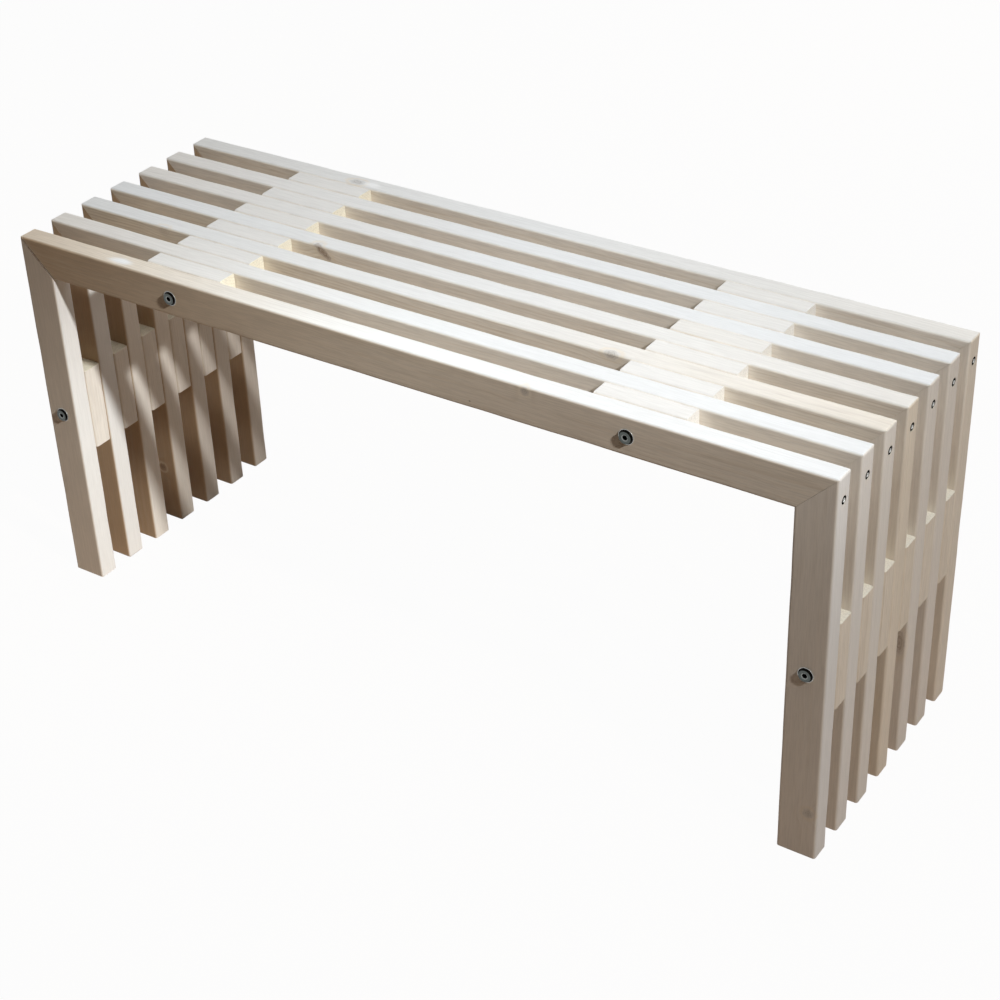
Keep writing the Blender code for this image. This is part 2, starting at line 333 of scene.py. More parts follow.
def group_with(name, inputs, outputs):
    """An empty shader node group with named sockets, as (tree, its inputs, its output node)."""
    tree = bpy.data.node_groups.new(name, "ShaderNodeTree")
    for label, kind in inputs.items():
        tree.interface.new_socket(label, in_out="INPUT", socket_type="NodeSocket" + kind)
    for label, kind in outputs.items():
        tree.interface.new_socket(label, in_out="OUTPUT", socket_type="NodeSocket" + kind)
    source = tree.nodes.new("NodeGroupInput")
    return tree, source.outputs, tree.nodes.new("NodeGroupOutput")


def make_knot_group():
    """One knot: a dark heart with its own rings, a pale rim, and the grain pushed aside round it."""
    tree, given, out = group_with(
        "knot_in_pine", {"Place": "Vector", "Grain": "Vector", "Darkness": "Float"},
        {"Heart": "Float", "Rim": "Float", "Push": "Float"})
    distance = add_node(tree, "VectorMath", {0: given["Place"]}, operation="LENGTH").outputs["Value"]
    uneven = maths(tree, "SUBTRACT", stretched_noise(tree, given["Grain"], (260, 320, 320), 2.0), 0.5)
    ragged = maths(tree, "MULTIPLY_ADD", uneven, 0.6, distance)
    heart = eased_step(tree, ragged, 0.35, 1.15, 1.0, 0.0)
    rings = maths(tree, "SINE", maths(tree, "MULTIPLY", ragged, 19.0))
    heart = maths(tree, "MULTIPLY", heart, maths(tree, "MULTIPLY_ADD", rings, 0.22, 0.78))
    past_heart = eased_step(tree, ragged, 0.85, 1.15)
    rim = maths(tree, "MULTIPLY", past_heart, eased_step(tree, ragged, 1.2, 1.7, 1.0, 0.0))
    near = eased_step(tree, distance, 0.3, 4.0, 1.0, 0.0)
    shown = eased_step(tree, given["Darkness"], 0.0, 0.3)
    tree.links.new(maths(tree, "MULTIPLY", heart, given["Darkness"]), out.inputs["Heart"])
    tree.links.new(maths(tree, "MULTIPLY", rim, shown), out.inputs["Rim"])
    tree.links.new(maths(tree, "MULTIPLY", near, shown), out.inputs["Push"])
    return tree


RINGS_IN_A_METRE = 310.0
RING_SWAY = 0.012
RING_RIPPLE = 0.0012
KNOT_PUSH = 0.0045        # how far a knot pushes the rings aside
# Sockets of the pine group: the marks of a bar that fill them, and the colours shared by all the wood.
PINE_PLACES = {"Grain": "grain", "Brown knot": "brown_knot", "Grey knot": "grey_knot",
               "Pin knot": "pin_knot", "White patch": "white_patch"}
PINE_AMOUNTS = {"Tint": "tint", "Sawn": "sawn", "White": "white", "Painted light": "painted_light", "Painted shade": "painted_shade",
                "Brown darkness": "brown_knot_darkness", "Grey darkness": "grey_knot_darkness",
                "Pin darkness": "pin_knot_darkness", "White amount": "white_patch_darkness"}
PINE_COLOURS = {
    "Earlywood": (0.810, 0.745, 0.668),
    "Latewood": (0.640, 0.530, 0.400),
    "Warm": (0.820, 0.720, 0.580),
    "Painted white light": (0.822, 0.848, 0.872),
    "Paler colour": (0.928, 0.878, 0.803),
    "Shade brown": (0.530, 0.375, 0.235),
    "End wood": (0.870, 0.828, 0.680),
    "Brown heart": (0.300, 0.205, 0.140),
    "Grey heart": (0.340, 0.310, 0.285),
    "Pin heart": (0.200, 0.150, 0.110),
    "Near white": (0.930, 0.930, 0.925),
}


def make_pine_group(knot_group):
    """Pine under white oil, whiter on lit faces and paler on others as painted light, or browner as painted
    shade, as the bar's marks say. Growth rings repeat with the distance from the pith, bent by slow noise
    and by knots. Latewood is a thin darker band at the end of each ring, clearer where the oil left more of
    the wood's own tint. Fibres and pores are noise drawn out along the run, the pigment lies unevenly over
    them, and sawn ends are yellower."""
    inputs = dict.fromkeys(PINE_PLACES, "Vector") | dict.fromkeys([*PINE_AMOUNTS, "Contrast"], "Float")
    inputs |= dict.fromkeys(PINE_COLOURS, "Color")
    tree, given, out = group_with("white_oiled_pine", inputs,
                                  {"Colour": "Color", "Roughness": "Float", "Height": "Float"})
    grain = given["Grain"]
    knots = {}
    for kind in ("Brown", "Grey", "Pin"):
        knot = tree.nodes.new("ShaderNodeGroup")
        knot.node_tree = knot_group
        tree.links.new(given[f"{kind} knot"], knot.inputs["Place"])
        tree.links.new(given[f"{kind} darkness"], knot.inputs["Darkness"])
        tree.links.new(grain, knot.inputs["Grain"])
        knots[kind] = knot.outputs
    rim = maths(tree, "MAXIMUM", knots["Brown"]["Rim"], knots["Grey"]["Rim"])
    push = maths(tree, "ADD", knots["Brown"]["Push"], knots["Grey"]["Push"])

    parts = add_node(tree, "SeparateXYZ", {0: grain}).outputs
    flat = add_node(tree, "CombineXYZ", {0: parts[1], 1: parts[2]}).outputs[0]
    from_pith = add_node(tree, "VectorMath", {0: flat}, operation="LENGTH").outputs["Value"]
    sway = maths(tree, "SUBTRACT", stretched_noise(tree, grain, (3.2, 16, 16), 2.0), 0.5)
    ripple = maths(tree, "SUBTRACT", stretched_noise(tree, grain, (22, 90, 90), 1.0), 0.5)
    bent = maths(tree, "MULTIPLY_ADD", sway, RING_SWAY, from_pith)
    bent = maths(tree, "MULTIPLY_ADD", ripple, RING_RIPPLE, bent)
    bent = maths(tree, "MULTIPLY_ADD", push, KNOT_PUSH, bent)
    years = maths(tree, "MULTIPLY", bent, RINGS_IN_A_METRE)
    season = maths(tree, "FRACT", years)
    year = maths(tree, "FLOOR", years)
    vigour = add_node(tree, "TexWhiteNoise", {"W": year}, noise_dimensions="1D").outputs["Value"]
    late = eased_step(tree, season, 0.25, 0.88)
    late = maths(tree, "MULTIPLY", late, eased_step(tree, season, 0.88, 1.0, 1.0, 0.0))
    late = maths(tree, "MULTIPLY", late, maths(tree, "MULTIPLY_ADD", vigour, 0.7, 0.3))

    fibre = stretched_noise(tree, grain, (38, 680, 680), 3.0, 0.55)
    streak = stretched_noise(tree, grain, (5, 170, 170), 2.0)
    pores = eased_step(tree, stretched_noise(tree, grain, (60, 1500, 1500), 1.0), 0.58, 0.74)
    pigment = stretched_noise(tree, grain, (17, 70, 70), 3.0)

    tinted = blend_colours(tree, given["Tint"], given["Earlywood"], given["Warm"])
    clear_rings = maths(tree, "MULTIPLY_ADD", given["Tint"], 0.62, 0.16)
    late_share = maths(tree, "MULTIPLY", late, eased_step(tree, pigment, 0.32, 0.68, 1.45, 0.35))
    late_share = maths(tree, "MULTIPLY", late_share, clear_rings)
    late_share = maths(tree, "MULTIPLY", late_share, given["Contrast"])
    # Painted light: a paler colour with fainter rings. Painted shade: a brown colour.
    rings_kept = maths(tree, "MULTIPLY_ADD", given["Painted light"], -0.5, 1.0)
    late_share = maths(tree, "MULTIPLY", late_share, rings_kept)
    tinted = blend_colours(tree, given["Painted light"], tinted, given["Paler colour"])
    tinted = blend_colours(tree, given["Painted shade"], tinted, given["Shade brown"])
    wood = blend_colours(tree, late_share, tinted, given["Latewood"])
    # Painted light: the whiter colour on tops and lit sides.
    wood = blend_colours(tree, maths(tree, "MULTIPLY", given["White"], 0.85), wood, given["Painted white light"])
    fibre_share = eased_step(tree, fibre, 0.38, 0.60, 0.93, 1.04)
    streak_share = eased_step(tree, streak, 0.30, 0.70, 0.97, 1.025)
    shade = maths(tree, "MULTIPLY", fibre_share, streak_share)
    shade = maths(tree, "MULTIPLY", shade, maths(tree, "MULTIPLY_ADD", pores, -0.06, 1.0))
    # Where that painted light lies, the grain is fainter.
    not_white = maths(tree, "MULTIPLY_ADD", given["White"], -0.4, 1.0)
    strength = maths(tree, "MULTIPLY", given["Contrast"], not_white)
    shade = maths(tree, "MULTIPLY_ADD", maths(tree, "SUBTRACT", shade, 1.0), strength, 1.0)
    end_pores = stretched_noise(tree, grain, (30, 900, 900), 2.0)
    end_shade = eased_step(tree, end_pores, 0.30, 0.62, 0.86, 1.05)
    shade = add_node(tree, "Mix", {0: given["Sawn"], 2: shade, 3: end_shade}).outputs[0]
    end_late = maths(tree, "MULTIPLY", late, 0.30)
    end_wood = blend_colours(tree, end_late, given["End wood"], given["Latewood"])
    # Painted light on lit ends as well.
    end_wood = blend_colours(tree, given["White"], end_wood, given["Near white"])
    wood = blend_colours(tree, given["Sawn"], wood, end_wood)
    wood = blend_colours(tree, maths(tree, "MULTIPLY", rim, 0.45), wood, given["Warm"])
    # The brown knot slot also carries the painted shade in an open mitre.
    for kind in ("Brown", "Grey", "Pin"):
        wood = blend_colours(tree, knots[kind]["Heart"], wood, given[f"{kind} heart"])
    patch = add_node(tree, "VectorMath", {0: given["White patch"]}, operation="LENGTH")
    uneven = maths(tree, "SUBTRACT", pigment, 0.5)
    blotted = maths(tree, "MULTIPLY_ADD", uneven, 1.6, patch.outputs["Value"])
    white = maths(tree, "MULTIPLY", eased_step(tree, blotted, 0.3, 1.1, 1.0, 0.0), given["White amount"])
    wood = blend_colours(tree, white, wood, given["Near white"])
    shading = add_node(tree, "CombineColor", {0: shade, 1: shade, 2: shade}).outputs[0]
    colour = blend_colours(tree, 1.0, wood, shading, "MULTIPLY")

    rough = maths(tree, "MULTIPLY_ADD", fibre, 0.16, 0.46)
    rough = maths(tree, "MULTIPLY_ADD", late, -0.06, rough)
    rough = maths(tree, "MULTIPLY_ADD", given["Sawn"], 0.15, rough)
    height = maths(tree, "MULTIPLY_ADD", fibre, 0.55, maths(tree, "MULTIPLY", late, 0.30))
    height = maths(tree, "MULTIPLY_ADD", pores, -0.30, height)
    tree.links.new(colour, out.inputs["Colour"])
    tree.links.new(rough, out.inputs["Roughness"])
    tree.links.new(height, out.inputs["Height"])
    return tree


def pine_material(name, group, contrast):
    """Pine that reads a bar's own marks: its grain, knots, tint, sawn ends and its painted light and shade.
    """
    material = bpy.data.materials.new(name)
    material.use_nodes = True
    tree = material.node_tree
    shader = tree.nodes["Principled BSDF"]
    wood = tree.nodes.new("ShaderNodeGroup")
    wood.node_tree = group
    for label, attribute in PINE_PLACES.items():
        place = add_node(tree, "Attribute", attribute_name=attribute).outputs["Vector"]
        tree.links.new(place, wood.inputs[label])
    for label, attribute in PINE_AMOUNTS.items():
        amount = add_node(tree, "Attribute", attribute_name=attribute).outputs["Fac"]
        tree.links.new(amount, wood.inputs[label])
    for label, colour in PINE_COLOURS.items():
        wood.inputs[label].default_value = (*colour, 1.0)
    wood.inputs["Contrast"].default_value = contrast
    bump = add_node(tree, "Bump", {"Strength": 0.35, "Distance": 0.0003, "Height": wood.outputs["Height"]})
    tree.links.new(wood.outputs["Colour"], shader.inputs["Base Color"])
    tree.links.new(wood.outputs["Roughness"], shader.inputs["Roughness"])
    tree.links.new(bump.outputs["Normal"], shader.inputs["Normal"])
    shader.inputs["Specular IOR Level"].default_value = 0.12
    return material


pine_group = make_pine_group(make_knot_group())
rail_pine = pine_material("white_oiled_pine_rail", pine_group, RAIL_CONTRAST)

rod_drills = {}
for side, sign in SIDES.items():
    for use in ("seat", "leg"):
        rod_low, rod_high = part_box(f"tie_rod_{use}_{side}")
        foot = ((rod_low.x + rod_high.x) / 2, rod_low.y - DRILL_PAST, (rod_low.z + rod_high.z) / 2)
        reach = rod_high.y - rod_low.y + 2 * DRILL_PAST
        rod_drills[use, side] = drill(f"rod_drill_{use}_{side}", [(ROD_HOLE / 2, 0), (ROD_HOLE / 2, reach)],
                                      foot, {"name": "y", "sign": 1})
for number in FRAMES:
    low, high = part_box(f"rail_{number}")
    depth, thickness = high.z - low.z, high.y - low.y
    middle_y = (low.y + high.y) / 2
    outside, inside = LEFT_MITRE_OPENING.get(number, (-MITRE_CLOSED, -MITRE_CLOSED))
    left_end = (low.x + depth / 2 + (outside + inside) / 2, -1 - (inside - outside) / depth)
    right_end = (high.x - depth / 2 + MITRE_CLOSED, 1)
    run, across, deep = bar_grid(thickness, depth, left_end, right_end, number)
    below = sand_corner(high.x - np.abs(run), depth / 2 - deep)
    points = np.stack([run, middle_y + across, high.z - below], axis=-1)
    rail = add_piece(f"pine_rail_{number}", grid_mesh(f"pine_rail_{number}", points))
    pilots = [
        drill("pilot", [(PILOT_HOLE / 2, 0), (PILOT_HOLE / 2, PILOT_REACH)],
              (sign * (high.x - PILOT_REACH), middle_y, high.z - SCREW_DROP), {"name": "x", "sign": sign})
        for sign in SIDES.values()]
    bored(rail, [rod_drills["seat", "left"], rod_drills["seat", "right"], *pilots])
    for pilot in pilots:
        bpy.data.objects.remove(pilot)
    top_shares, front_shares = RAIL_PAINTED_LIGHT[number - 1]
    light_and_shade = {"narrow": top_shares, "front": front_shares, "back": RAIL_BACK_PAINTED_LIGHT}
    knots = RAIL_KNOTS.get(number, {})
    mark_timber(rail, "x", RAIL_TINTS[number - 1], light_and_shade, knots, RAIL_SEED + number)
    rail.data.materials.append(rail_pine)
    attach(rail, "root")
    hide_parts(f"rail_{number}")


# Legs. Fourteen legs of the same stock stand at the ends, mitred under the rails and sawn square at
# the floor. A leg rod passes through each row, and a counterbore near the top takes the corner screw.
SCREW_SEAT = 0.0095
SCREW_SEAT_DEPTH = 0.005
SHANK_HOLE = 0.0045
SHANK_REACH = 0.06
SEAT_DRILL_PAST = 0.01    # how far the counterbore's drill stands out of the leg
LEG_SEED = 200
SEEDS_A_SIDE = 20
LEG_CONTRAST = 0.55
WIDE_ARRIS = 0.0013       # easing of a few mitres that catch the light as a pale line
WIDE_ARRIS_LEGS = (("left", 2), ("left", 4), ("left", 7))
LEG_TINTS = {"left": (0.10, 0.16, 0.48, 0.40, 0.22, 0.30, 0.36),
             "right": (0.14, 0.18, 0.40, 0.82, 0.12, 0.10, 0.62)}
# Painted light on the legs' sides, and on their fronts and backs painted light above 0 and painted shade
# below 0.
LEG_SIDE_PAINTED_LIGHT = {"left": (0.75, 0.75, 0.40, 0.25, 0.20, 0.20, 0.15),
              "right": (0.60, 0.40, 0.35, 0.0, 0.15, 0.10, 0.0)}
FIRST_LEG_FRONTS = {"left": (-0.25, -0.30, -0.40), "right": (0.10, 0.0, 0.0)}
LEG_FRONTS = {"left": (-0.95, -0.95, -0.95), "right": (0.05, 0.20, 0.80)}    # that look into a gap
LEG_BACKS = {"left": (-0.5, -0.5, -0.5), "right": (0.05, 0.20, 0.80)}
LEG_KNOTS = {
    ("left", 1): {"brown_knot": OPEN_MITRE_SHADE},
    ("right", 1): {"grey_knot": (0.490, 0.0, 0.056, (0.0065, 0.008, 0.0065), 0, 0.50)},
    ("right", 5): {"brown_knot": (0.492, 0.0, 0.141, (0.0065, 0.008, 0.017), 0, 0.55)},
    ("left", 4): {"brown_knot": (-0.478, 0.0, 0.073, (0.0060, 0.006, 0.0055), 0, 0.85)},
}
leg_pine = pine_material("white_oiled_pine_leg", pine_group, LEG_CONTRAST)
for side, sign in SIDES.items():
    for number in FRAMES:
        low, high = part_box(f"leg_{side}_{number}")
        thickness, depth = high.y - low.y, high.x - low.x
        middle_y = (low.y + high.y) / 2
        arris = WIDE_ARRIS if (side, number) in WIDE_ARRIS_LEGS else SAWN_ARRIS
        mitre = (high.z - depth / 2 + MITRE_CLOSED, sign)
        dent_seed = SEEDS_A_SIDE * (2 + sign) + number
        run, across, deep = bar_grid(thickness, depth, (low.z, 0), mitre, dent_seed, arris)
        away = sand_corner(high.z - run, depth / 2 - sign * deep)
        outer = high.x if sign > 0 else low.x
        points = np.stack([outer - sign * away, middle_y + across, run], axis=-1)
        name = f"pine_leg_{side}_{number}"
        leg = add_piece(name, grid_mesh(name, points, flip=True))
        screw_drill = drill(
            "screw_drill",
            [(SHANK_HOLE / 2, -SHANK_REACH), (SHANK_HOLE / 2, -SCREW_SEAT_DEPTH),
             (SCREW_SEAT / 2, -SCREW_SEAT_DEPTH), (SCREW_SEAT / 2, SEAT_DRILL_PAST)],
            (outer, middle_y, high.z - SCREW_DROP), {"name": "x", "sign": sign})
        bored(leg, [rod_drills["leg", side], screw_drill])
        bpy.data.objects.remove(screw_drill)
        knots = LEG_KNOTS.get((side, number), {})
        white = LEG_SIDE_PAINTED_LIGHT[side][number - 1]
        fronts = FIRST_LEG_FRONTS if number == FRAMES[0] else LEG_FRONTS
        light_and_shade = {"narrow": [white] * 3, "front": fronts[side]}
        if number != FRAMES[-1]:
            light_and_shade["back"] = LEG_BACKS[side]
        tree_seed = LEG_SEED + SEEDS_A_SIDE * sign + number
        mark_timber(leg, "z", LEG_TINTS[side][number - 1], light_and_shade, knots, tree_seed)
        leg.data.materials.append(leg_pine)
        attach(leg, "root")
        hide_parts(f"leg_{side}_{number}")


# Spacers. Twenty-four short blocks of the same pine keep the frames apart, one in each gap on each rod.
# They are sawn square, so their ends show end grain, and lie flush with the bars beside them.
GAPS = range(1, 7)
SPACER_SEED = 400
SEEDS_A_ROD = 60
SPACER_CONTRAST = 0.8
SPACER_TINTS = {("seat", "left"): (0.30, 0.20, 0.25, 0.40, 0.20, 0.30),
                ("seat", "right"): (0.20, 0.15, 0.35, 0.75, 0.30, 0.40),
                ("leg", "left"): (0.20, 0.30, 0.40, 0.50, 0.40, 0.55),
                ("leg", "right"): (0.55, 0.60, 0.65, 0.80, 0.60, 0.65)}
# Painted light on the spacers' sides and ends.
SPACER_SIDE_PAINTED_LIGHT = {("seat", "left"): 0.70, ("seat", "right"): 0.70,
                 ("leg", "left"): 0.28, ("leg", "right"): 0.0}
SPACER_END_PAINTED_LIGHT = {("seat", "left"): 0.0, ("seat", "right"): 0.65,
                     ("leg", "left"): 0.0, ("leg", "right"): 0.30}
spacer_pine = pine_material("white_oiled_pine_spacer", pine_group, SPACER_CONTRAST)
for (use, side), rod_drill in rod_drills.items():
    for gap in GAPS:
        node = f"spacer_{use}_{side}_{gap}"
        low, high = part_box(node)
        centre = (low + high) / 2
        size = high - low
        seed = SPACER_SEED + SEEDS_A_ROD * list(rod_drills).index((use, side)) + gap
        if use == "seat":
            run, across, deep = bar_grid(size.y, size.z, (low.x, 0), (high.x, 0), seed)
            points = np.stack([run, centre.y + across, centre.z + deep], axis=-1)
        else:
            run, across, deep = bar_grid(size.y, size.x, (low.z, 0), (high.z, 0), seed)
            points = np.stack([centre.x + deep, centre.y + across, run], axis=-1)
        spacer = add_piece(f"pine_{node}", grid_mesh(f"pine_{node}", points, flip=use == "leg"))
        bored(spacer, [rod_drill])
        tint = SPACER_TINTS[use, side][gap - 1]
        light_and_shade = {"narrow": [SPACER_SIDE_PAINTED_LIGHT[use, side]] * 3, "ends": [SPACER_END_PAINTED_LIGHT[use, side]] * 3}
        mark_timber(spacer, "x" if use == "seat" else "z", tint, light_and_shade, {}, seed)
        spacer.data.materials.append(spacer_pine)
        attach(spacer, "root")
        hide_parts(node)
for rod_drill in rod_drills.values():
    bpy.data.objects.remove(rod_drill)


# Tie rods. Four lengths of zinc-plated threaded rod run through the bench from front to back and draw
# the frames and spacers together. They keep their CAD shape, since the wood hides them.
THREAD_PITCH = 0.00125
THREAD_DEPTH = 0.0006
WAVE_LENGTH = 0.314       # of the wave texture at a scale of 1
rod_zinc = bpy.data.materials.new("zinc_plated_rod")
rod_zinc.use_nodes = True
rod_tree = rod_zinc.node_tree
rod_shader = rod_tree.nodes["Principled BSDF"]
rod_place = add_node(rod_tree, "TexCoord").outputs["Object"]
thread = add_node(rod_tree, "TexWave", {"Vector": rod_place, "Scale": WAVE_LENGTH / THREAD_PITCH},
                  wave_type="BANDS", bands_direction="Y", wave_profile="TRI")
dull = add_node(rod_tree, "TexNoise", {"Vector": rod_place, "Scale": 240.0, "Detail": 3.0})
rod_colour = blend_colours(rod_tree, dull.outputs["Fac"], (0.42, 0.43, 0.45, 1), (0.62, 0.63, 0.64, 1))
rod_tree.links.new(rod_colour, rod_shader.inputs["Base Color"])
rod_rough = eased_step(rod_tree, dull.outputs["Fac"], 0.3, 0.7, 0.30, 0.50)
rod_tree.links.new(rod_rough, rod_shader.inputs["Roughness"])
rod_bump = add_node(rod_tree, "Bump", {"Strength": 0.8, "Distance": THREAD_DEPTH,
                                       "Height": thread.outputs["Fac"]})
rod_tree.links.new(rod_bump.outputs["Normal"], rod_shader.inputs["Normal"])
rod_shader.inputs["Metallic"].default_value = 1.0
for side in SIDES:
    for use in ("seat", "leg"):
        rod_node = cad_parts[f"tie_rod_{use}_{side}"]
        for rod_slot in rod_node.material_slots:
            rod_slot.material = rod_zinc


# Cap nuts. A turned cap nut with a six-sided socket closes each end of each rod. Its face is grey, its
# steep side is black as a painted dark reflection, above a flange made bright as a painted highlight, and
# its sleeve goes into the wood on the rod's thread.
HEAD_HEIGHT = 0.0026
FLANGE_HEIGHT = 0.0004
CAP_RADIUS = 0.0067
CAP_EDGE = 0.0003
FLANGE_EDGE = 0.0002
SOCKET_WIDTH = 0.005
SOCKET_DEPTH = 0.004
SOCKET_FLOOR = 0.002
SLEEVE_RADIUS = 0.0055
BORE_RADIUS = 0.0043
SLEEVE_LENGTH = 0.018
SLEEVE_BEVEL = 0.0004
NUT_STEPS = 72
EDGE_RINGS = 6
FACE_START = 0.0037       # where the flat face begins outside the socket's bevel
FACE_RINGS = ((0.0043, 0.0), (0.0045, 0.00006), (0.0047, 0.0),     # (radius, how far it is sunk): two
              (0.0054, 0.0), (0.0056, 0.00006), (0.0058, 0.0))     # fine grooves left by the turning
METAL_CREASE = 34         # degrees past which an edge of the metal is drawn sharp


def six_sided(width, turns):
    """Radius of a hexagon of that width across its flats: half the width over the cosine of the angle
    to the middle of the nearest flat."""
    from_flat = (turns + math.pi / 6) % (math.pi / 3) - math.pi / 6
    return width / 2 / np.cos(from_flat)


def nut_grid(head_radius, turns):
    """Rings of the cap nut from the socket's floor over the face, the rim and the sleeve into the bore."""
    socket = six_sided(SOCKET_WIDTH, turns)
    floor = HEAD_HEIGHT - SOCKET_DEPTH
    rings = [(0.3 * socket, floor - 0.0002), (0.97 * socket, floor), (socket, floor + 0.0001),
             (socket, HEAD_HEIGHT - 0.0005), (socket + 0.0002, HEAD_HEIGHT - 0.0003),
             (FACE_START, HEAD_HEIGHT)]
    rings += [(radius, HEAD_HEIGHT - sunk) for radius, sunk in FACE_RINGS]
    leans = np.linspace(0, math.pi / 2, EDGE_RINGS)
    rings += [(CAP_RADIUS - CAP_EDGE * (1 - math.sin(lean)), HEAD_HEIGHT - CAP_EDGE * (1 - math.cos(lean)))
              for lean in leans]
    rings += [(CAP_RADIUS + 0.00005, FLANGE_HEIGHT + 0.0002), (CAP_RADIUS + 0.0002, FLANGE_HEIGHT)]
    rings += [(head_radius - FLANGE_EDGE * (1 - math.sin(lean)),
               FLANGE_HEIGHT - 0.0001 - FLANGE_EDGE * (1 - math.cos(lean))) for lean in leans]
    rings += [(head_radius, 0.00005), (head_radius - 0.0002, 0.0), (SLEEVE_RADIUS, 0.0),
              (SLEEVE_RADIUS, SLEEVE_BEVEL - SLEEVE_LENGTH), (SLEEVE_RADIUS - SLEEVE_BEVEL, -SLEEVE_LENGTH),
              (BORE_RADIUS, -SLEEVE_LENGTH), (BORE_RADIUS, floor - SOCKET_FLOOR),
              (0.3 * BORE_RADIUS, floor - SOCKET_FLOOR)]
    return ring_grid(rings, turns)


def make_zinc_group():
    """Turned and plated steel: rings that repeat with the distance from the axis, fine stains, a black band
    between two radii (on the cap nut a painted dark reflection on its steep side, on the screw's head
    painted shade of the counterbore round it), black down in the socket as painted shade, and bright
    outside the band, on the nut's flange a painted highlight, and a little so inside the socket's edge.
    the socket's edge."""
    tree, given, out = group_with(
        "turned_zinc",
        {"Turning": "Vector", "Grey": "Color", "Bright": "Color", "Black": "Color", "Socket edge": "Float",
         "Band start": "Float", "Band end": "Float", "Bottom": "Float"},
        {"Colour": "Color", "Roughness": "Float", "Height": "Float"})
    parts = add_node(tree, "SeparateXYZ", {0: given["Turning"]}).outputs
    flat = add_node(tree, "CombineXYZ", {0: parts[0], 1: parts[1]}).outputs[0]
    radius = add_node(tree, "VectorMath", {0: flat}, operation="LENGTH").outputs["Value"]
    stains = add_node(tree, "TexNoise", {"Vector": given["Turning"], "Scale": 420.0, "Detail": 3.0})
    stain = stains.outputs["Fac"]
    uneven = maths(tree, "MULTIPLY_ADD", maths(tree, "SUBTRACT", stain, 0.5), 0.0002, radius)
    inside = maths(tree, "GREATER_THAN", uneven, given["Band start"])
    outside = maths(tree, "LESS_THAN", uneven, given["Band end"])
    deep = maths(tree, "LESS_THAN", parts[2], given["Bottom"])
    in_socket = maths(tree, "MULTIPLY", deep, maths(tree, "LESS_THAN", radius, given["Socket edge"]))
    # On the nut the band is a painted dark reflection, on the screw painted shade; black in the socket is
    # painted shade.
    black = maths(tree, "MAXIMUM", maths(tree, "MULTIPLY", inside, outside), in_socket)
    past_band = maths(tree, "GREATER_THAN", uneven, given["Band end"])
    by_socket = maths(tree, "MULTIPLY", maths(tree, "LESS_THAN", uneven, given["Socket edge"]), 0.35)
    brightened = maths(tree, "MAXIMUM", past_band, by_socket)
    rings = maths(tree, "SINE", maths(tree, "MULTIPLY", radius, 9500.0))
    lightness = maths(tree, "MULTIPLY_ADD", rings, 0.07, maths(tree, "MULTIPLY_ADD", stain, 0.35, 0.78))
    shading = add_node(tree, "CombineColor", {0: lightness, 1: lightness, 2: lightness}).outputs[0]
    metal = blend_colours(tree, brightened, given["Grey"], given["Bright"])
    metal = blend_colours(tree, 1.0, metal, shading, "MULTIPLY")
    tree.links.new(blend_colours(tree, black, metal, given["Black"]), out.inputs["Colour"])
    rough = maths(tree, "MULTIPLY_ADD", stain, 0.25, 0.26)
    tree.links.new(maths(tree, "MULTIPLY_ADD", black, -0.10, rough), out.inputs["Roughness"])
    tree.links.new(rings, out.inputs["Height"])
    return tree


def zinc_material(name, group, edge_tint, values):
    """Plated steel that reads the piece's own turning attribute: its place relative to its axis."""
    material = bpy.data.materials.new(name)
    material.use_nodes = True
    tree = material.node_tree
    shader = tree.nodes["Principled BSDF"]
    metal = tree.nodes.new("ShaderNodeGroup")
    metal.node_tree = group
    turning = add_node(tree, "Attribute", attribute_name="turning").outputs["Vector"]
    tree.links.new(turning, metal.inputs["Turning"])
    for label, value in values.items():
        metal.inputs[label].default_value = value
    bump = add_node(tree, "Bump", {"Strength": 0.25, "Distance": 0.00005,
                                   "Height": metal.outputs["Height"]})
    tree.links.new(metal.outputs["Colour"], shader.inputs["Base Color"])
    tree.links.new(metal.outputs["Roughness"], shader.inputs["Roughness"])
    tree.links.new(bump.outputs["Normal"], shader.inputs["Normal"])
    shader.inputs["Metallic"].default_value = 1.0
    shader.inputs["Specular Tint"].default_value = edge_tint
    return material


def mark_turning(piece, radii, heights, turns):
    """The turning attribute: two distances from the axis and the height along it."""
    local = np.stack([radii * np.cos(turns), radii * np.sin(turns), heights], axis=-1)
    mark(piece.data, "turning", "FLOAT_VECTOR", "POINT", local.reshape(-1, 3))
    piece.data.shade_smooth()
    piece.data.set_sharp_from_angle(angle=math.radians(METAL_CREASE))


zinc_group = make_zinc_group()
# Black band: painted dark reflection on the steep side; bright flange past it: painted highlight.
nut_zinc = zinc_material("zinc_plated_nut", zinc_group, (1, 1, 1, 1), {
    "Grey": (0.088, 0.098, 0.094, 1), "Bright": (0.46, 0.46, 0.44, 1), "Black": (0.008, 0.007, 0.006, 1),
    "Socket edge": 0.0036, "Band start": 0.0064, "Band end": 0.0079, "Bottom": HEAD_HEIGHT - 0.0006})
nut_turns = np.linspace(0, 2 * math.pi, NUT_STEPS, endpoint=False)
for side in SIDES:
    for use in ("seat", "leg"):
        for face, sign in {"front": -1, "rear": 1}.items():
            node = f"cap_nut_{use}_{side}_{face}"
            low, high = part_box(node)
            head_radius = (high.x - low.x) / 2
            face_y = low.y if sign < 0 else high.y
            foot = ((low.x + high.x) / 2, face_y - sign * HEAD_HEIGHT, (low.z + high.z) / 2)
            radii, heights = nut_grid(head_radius, nut_turns)
            points = turned(radii, heights, nut_turns, foot, {"name": "y", "sign": sign})
            nut = add_piece(f"zinc_{node}", grid_mesh(f"zinc_{node}", points, flip=sign > 0))
            mark_turning(nut, radii, heights, nut_turns)
            nut.data.materials.append(nut_zinc)
            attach(nut, "root")
            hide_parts(node)


